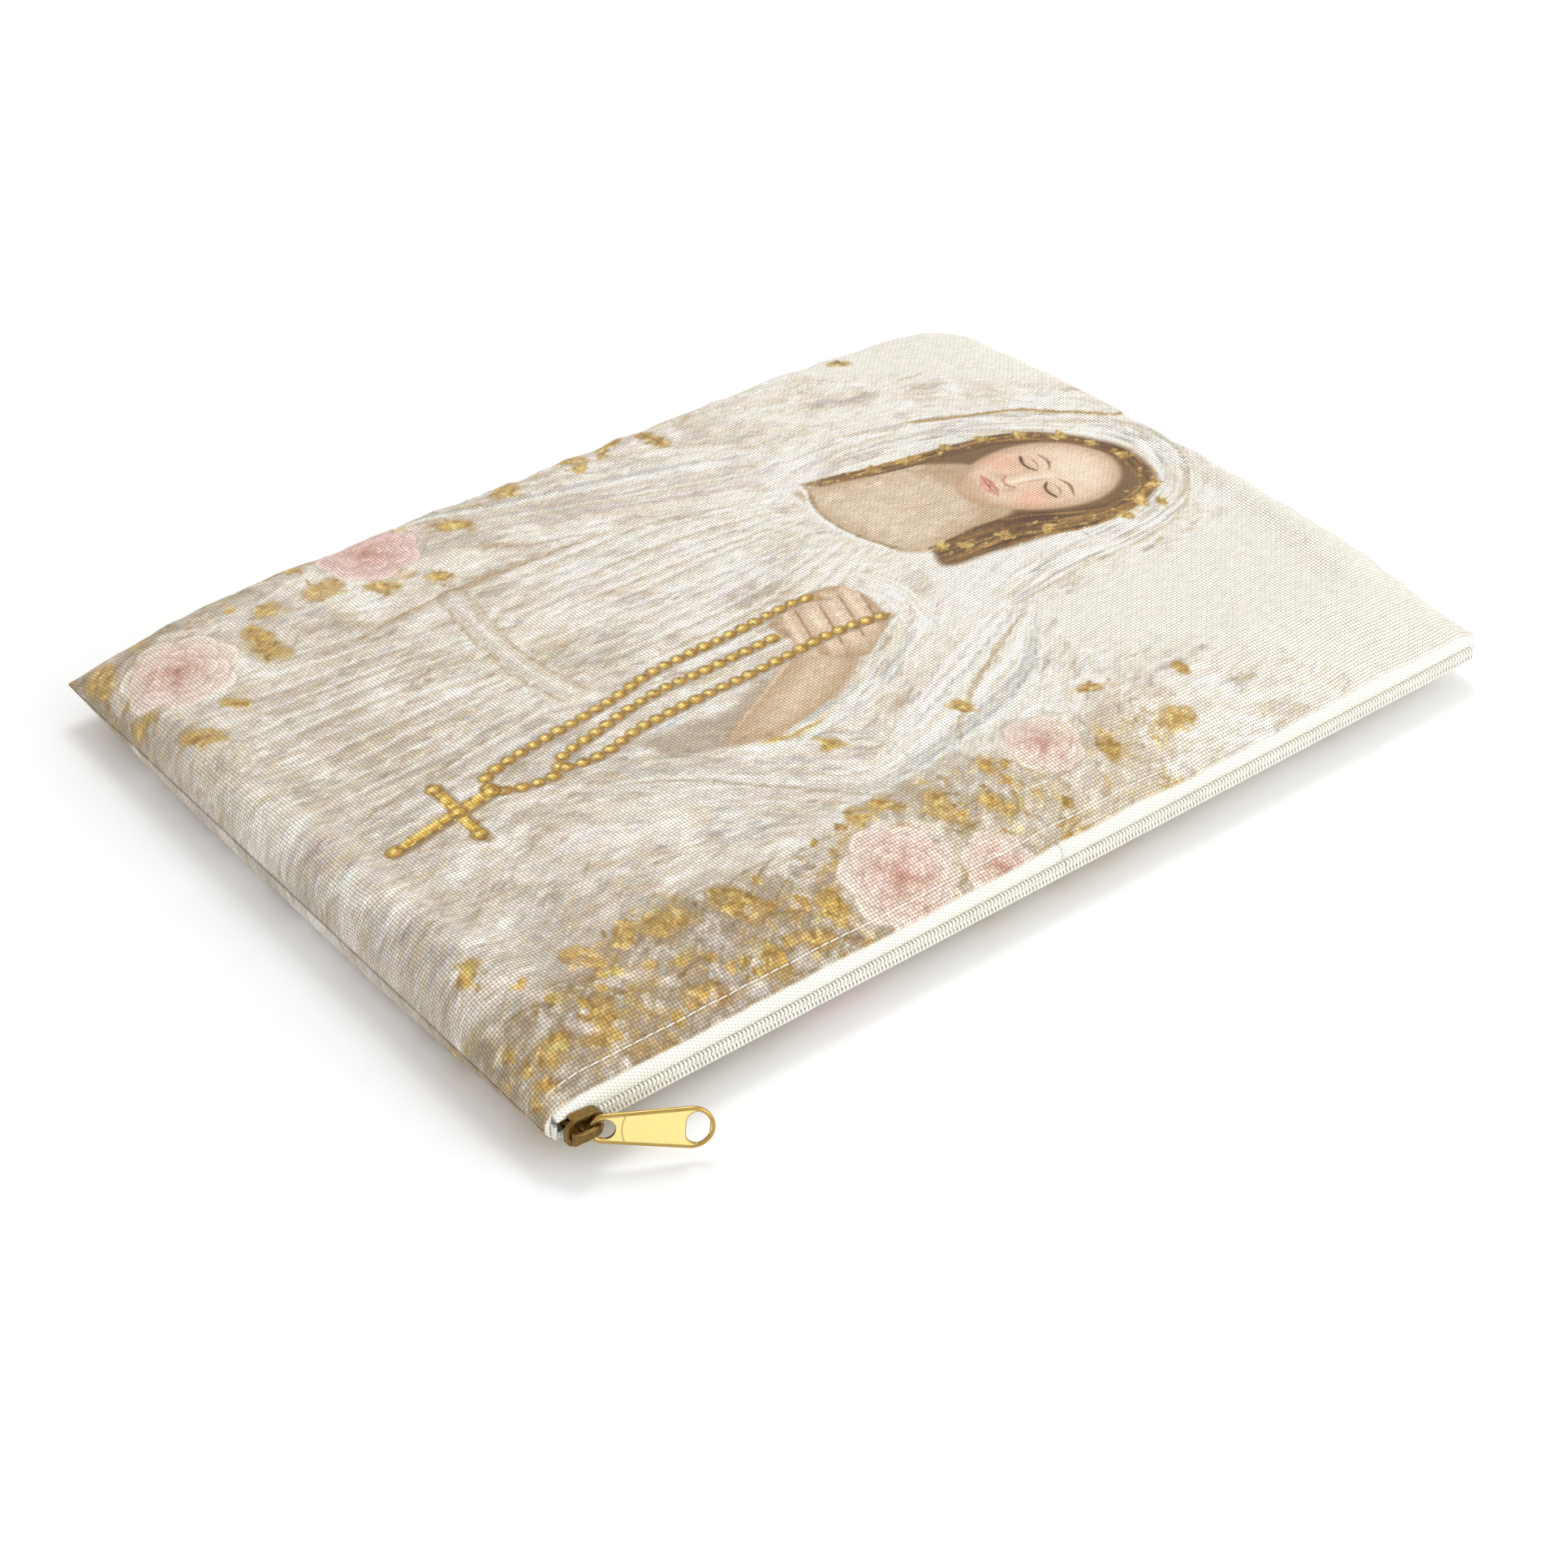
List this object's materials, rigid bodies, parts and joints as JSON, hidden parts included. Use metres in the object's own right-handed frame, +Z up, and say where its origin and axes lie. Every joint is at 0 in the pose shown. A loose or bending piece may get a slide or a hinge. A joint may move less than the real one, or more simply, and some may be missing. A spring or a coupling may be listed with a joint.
{
  "type": "zip pouch",
  "caption": "Flat canvas pouch, filled out, with a nylon coil zip along one long edge, a slider with a swinging pull tab, and a lined interior.",
  "frame": {"origin": "the middle of the underside that the pouch lies on, under the middle of the panels", "axes": "+X along the zip, from the end where the slider is parked when closed; +Y from the zip to the bottom seam; +Z up out of the front panel"},
  "size_m": [0.317, 0.247, 0.0267],
  "materials": {
    "printed_canvas": "printed plain-weave canvas",
    "canvas_inside": "unprinted canvas",
    "lining": "plain cotton lining",
    "zip_tape": "woven twill tape",
    "zip_coil": "nylon coil",
    "thread": "polyester thread",
    "slider_brass": "antiqued",
    "spring_steel": "plain",
    "pale_gold": "polished pale gold plate"
  },
  "bodies": {
    "back_half": {"back_panel": "printed_canvas", "back_lining": "lining", "back_tape": "zip_tape", "back_coil": "zip_coil", "back_core_cord": "thread", "back_coil_thread": "thread", "back_topstitch": "thread", "left_side_seam": "canvas_inside", "right_side_seam": "canvas_inside", "bottom_seam": "canvas_inside", "left_bar_tack": "thread", "right_bar_tack": "thread"},
    "front_half": {"front_panel": "printed_canvas", "front_lining": "lining", "front_tape": "zip_tape", "front_coil": "zip_coil", "front_core_cord": "thread", "front_coil_thread": "thread", "front_topstitch": "thread"},
    "slider": {"slider_body": "slider_brass", "slider_cap": "slider_brass", "lock_spring": "spring_steel"},
    "pull": {"pull_tab": "pale_gold"}
  },
  "joints": [
    {"name": "slider_slide", "type": "slide", "parent": "back_half", "child": "slider", "axis": [1, 0, 0], "range_m": [0, 0.296]},
    {"name": "mouth_open", "type": "hinge", "parent": "back_half", "child": "front_half", "pos_m": [0, 0.114, 0.0115], "axis": [-1, 0, 0], "range_deg": [0, 12.5], "deforming": ["front_tape", "front_coil", "front_core_cord", "front_coil_thread"]},
    {"name": "pull_swing", "type": "hinge", "parent": "slider", "child": "pull", "pos_m": [-0.1493, -0.11765, 0.0107], "axis": [0.1889, 0.1291, 0.9735], "range_deg": [-100, 18]}
  ],
  "couplings": [
    {"joint": "mouth_open", "follows": "slider_slide", "rad_per_m": 0.73}
  ]
}
